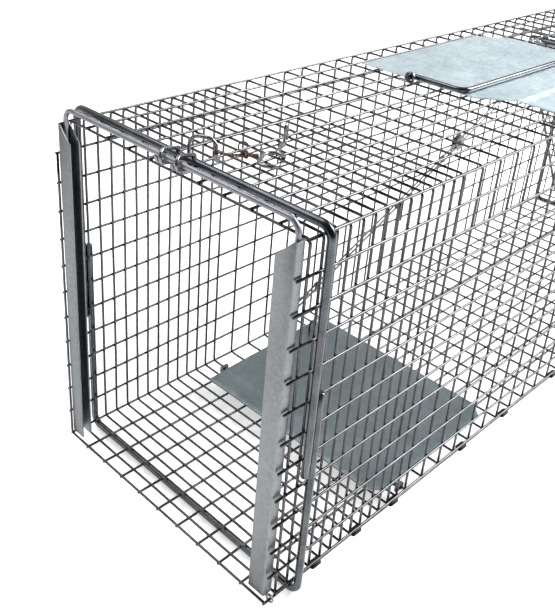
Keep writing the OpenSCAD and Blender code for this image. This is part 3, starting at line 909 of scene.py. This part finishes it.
def tie_wire():
    """Twisted tie from the arch's foot, knotted, and looped round the snap hook."""
    mesh = Builder()
    wire = 0.6 * MM
    arch_foot = ARCH_AT + ARCH_DIR * ARCH_HALF + Vector((0, 0, ROOF_TOP + 8 * MM))
    bundle = ON_HOOK @ Vector((-2 * MM, 19 * MM, 1.5 * MM))
    sag = arch_foot.lerp(bundle, 0.55) - Vector((0, 0, 1.5 * MM))
    twisted(mesh, rounded([arch_foot, sag, bundle], 14 * MM, 8), 0.62 * MM, wire, 6 * MM)
    coil = ring(arch_foot - Vector((0, 0, MM)), (1, 0, 0), (0, 1, 0), 2.1 * MM, 2, (0, 0, 1.2 * MM))
    mesh.tube(coil, wire, 8)
    for tilt, size in ((0.2, 2.4), (0.9, 2.7), (1.7, 2.1), (2.5, 2.6)):
        u = (math.cos(tilt), math.sin(tilt), 0.3)
        v = (-0.4 * math.sin(tilt), 0.4 * math.cos(tilt), 0.9)
        mesh.tube(ring(bundle, u, v, size * MM, 1.3, (0.7 * MM, -0.5 * MM, 0)), wire, 8)
    curl = bundle + Vector((1 * MM, 3 * MM, 4.5 * MM))
    mesh.tube(ring(curl, (0.7, -0.7, 0), (0.2, 0.2, 1), 3.6 * MM, 0.9), wire, 8)
    twisted(mesh, [bundle, KNOT + Vector((0, 0, 0.6 * MM))], 0.6 * MM, wire, 5 * MM)
    mesh.tube(ring(KNOT - Vector((0, 0, MM)), (1, 0, 0), (0, 1, 0), 1.4 * MM, 2.5, (0, 0, 0.9 * MM)), wire, 8)
    return mesh.build("tie_wire_strands", "cage", (TIE_WIRE,), ["tie_wire"])


def snap_hook():
    mesh = Builder()
    half = HOOK_STRAIGHT / 2
    around = [(-half + HOOK_BEND * x, HOOK_BEND * y) for x, y in arc(1, 270, 90)]
    around += [(half + HOOK_BEND * x, HOOK_BEND * y) for x, y in arc(1, 90, -90)]
    mesh.tube([ON_HOOK @ Vector((x, y, 0)) for x, y in around], HOOK_R, 16)
    end = half + HOOK_BEND
    shank = 22 * MM
    profile = [(-1.2, 1.2), (0, 1.9), (3, 2.0), (4, 1.7), (8, 1.55), (14, 1.7), (17, 2.0), (20, 2.0),
               (20.6, 1.5), (22, 1.5), (23, 0.9)]
    place = ON_HOOK @ Matrix.Translation((end, 0, 0))
    mesh.turned([(x * MM, r * MM) for x, r in profile], place, 18)
    eye_r, eye_bend, eye_straight = 1.2 * MM, 3.5 * MM, 8 * MM
    base = -0.8 * MM
    loop = [(eye_bend * x, base + eye_bend + eye_bend * y) for x, y in arc(1, -180, 0)]
    loop += [(eye_bend * x, base + eye_bend + eye_straight + eye_bend * y) for x, y in arc(1, 0, 180)]
    loop.append((loop[0][0], loop[0][1]))
    mesh.tube([ON_HOOK @ Vector((end + shank + eye_bend + x, 0, z)) for x, z in loop], eye_r, 12)
    pin = Vector((3.6 * MM, -HOOK_BEND, 0))
    for z in (-2 * MM, 1.4 * MM):
        tab = [(pin.x - 1.4 * MM, -HOOK_BEND - HOOK_R), (half + HOOK_R, -HOOK_BEND - HOOK_R),
               (half + HOOK_R, -HOOK_BEND + HOOK_R), (pin.x - 1.4 * MM, -HOOK_BEND + HOOK_R)]
        mesh.plate(tab, z, 0.6 * MM, 0, ON_HOOK)
    upright = Matrix.Rotation(-math.pi / 2, 4, "Y")
    mesh.turned([(-2.2 * MM, 0.9 * MM), (-1.9 * MM, 1.1 * MM), (-1.9 * MM, 0.6 * MM), (1.9 * MM, 0.6 * MM),
                 (1.9 * MM, 1.1 * MM), (2.2 * MM, 0.9 * MM)], ON_HOOK @ Matrix.Translation(pin) @ upright, 14)
    return mesh.build("snap_hook_body", "snap", (BRIGHT_ROD,), ["snap_hook"])


latch_coils()
latch_arch()
tie_wire()
snap_hook()
carry(ZINC_ROD, "snap_gate")


# ---- Camera, light and floor ----

def camera():
    """Three-quarter view of the release end from its right, close up."""
    data = bpy.data.cameras.new("view")
    data.sensor_fit = "VERTICAL"
    data.sensor_height = 24
    data.lens = 33.27
    data.shift_x = 0.0342
    data.shift_y = -0.0938
    data.clip_start = 0.01
    cam = bpy.data.objects.new("view", data)
    heading, dip, roll = math.radians(43.61), math.radians(27.93), math.radians(3.92)
    turn = Matrix.Rotation(heading - math.pi / 2, 4, "Z") @ Matrix.Rotation(math.pi / 2 - dip, 4, "X")
    turn = turn @ Matrix.Rotation(roll, 4, "Z")
    cam.matrix_world = Matrix.Translation((-0.7882, -0.4100, 0.5418)) @ turn
    bpy.context.scene.collection.objects.link(cam)
    bpy.context.scene.camera = cam


def area_light(name, place, aim, size, watts):
    data = bpy.data.lights.new(name, "AREA")
    data.shape = "RECTANGLE"
    data.size, data.size_y = size
    data.energy = watts
    lamp = bpy.data.objects.new(name, data)
    lamp.location = place
    lamp.rotation_euler = (Vector(aim) - Vector(place)).to_track_quat("-Z", "Y").to_euler()
    bpy.context.scene.collection.objects.link(lamp)


def studio_world():
    """Bright low sky and far side, with the near upper side left dark."""
    world = bpy.data.worlds.new("studio")
    world.use_nodes = True
    nodes, links = world.node_tree.nodes, world.node_tree.links
    background = nodes["Background"]
    coords = nodes.new("ShaderNodeTexCoord")
    lean = nodes.new("ShaderNodeVectorMath")
    lean.operation = "DOT_PRODUCT"
    lean.inputs[1].default_value = (0.62, 0.62, -0.35)
    ramp = nodes.new("ShaderNodeValToRGB")
    ramp.color_ramp.elements[0].position = 0.0
    ramp.color_ramp.elements[0].color = (0.10, 0.10, 0.11, 1)
    ramp.color_ramp.elements[1].position = 0.75
    ramp.color_ramp.elements[1].color = (0.85, 0.87, 0.90, 1)
    span = nodes.new("ShaderNodeMapRange")
    span.inputs["From Min"].default_value = -0.8
    span.inputs["From Max"].default_value = 0.8
    links.new(coords.outputs["Generated"], lean.inputs[0])
    links.new(lean.outputs["Value"], span.inputs[0])
    links.new(span.outputs[0], ramp.inputs[0])
    links.new(ramp.outputs[0], background.inputs["Color"])
    background.inputs["Strength"].default_value = 0.9
    bpy.context.scene.world = world


def studio():
    floor = bpy.data.meshes.new("studio_floor")
    reach = 12
    floor.from_pydata([(-reach, -reach, 0), (reach, -reach, 0), (reach, reach, 0), (-reach, reach, 0)],
                      [], [(0, 1, 2, 3)])
    piece = bpy.data.objects.new("studio_floor", floor)
    bpy.context.scene.collection.objects.link(piece)
    mat = bpy.data.materials.new("studio_floor")
    mat.use_nodes = True
    socket_set(mat.node_tree.nodes["Principled BSDF"], Base_Color=(0.9, 0.9, 0.89, 1), Roughness=0.9,
               Emission_Color=(1.0, 1.0, 0.985, 1), Emission_Strength=0.55)
    floor.materials.append(mat)
    studio_world()
    bpy.context.scene.view_settings.view_transform = "Standard"
    area_light("key", (1.75, -1.05, 1.85), (0, 0, 0.15), (1.6, 1.6), 150)
    area_light("fill", (-0.6, 1.2, 2.4), (0, 0, 0), (1.6, 1.6), 30)


camera()
studio()
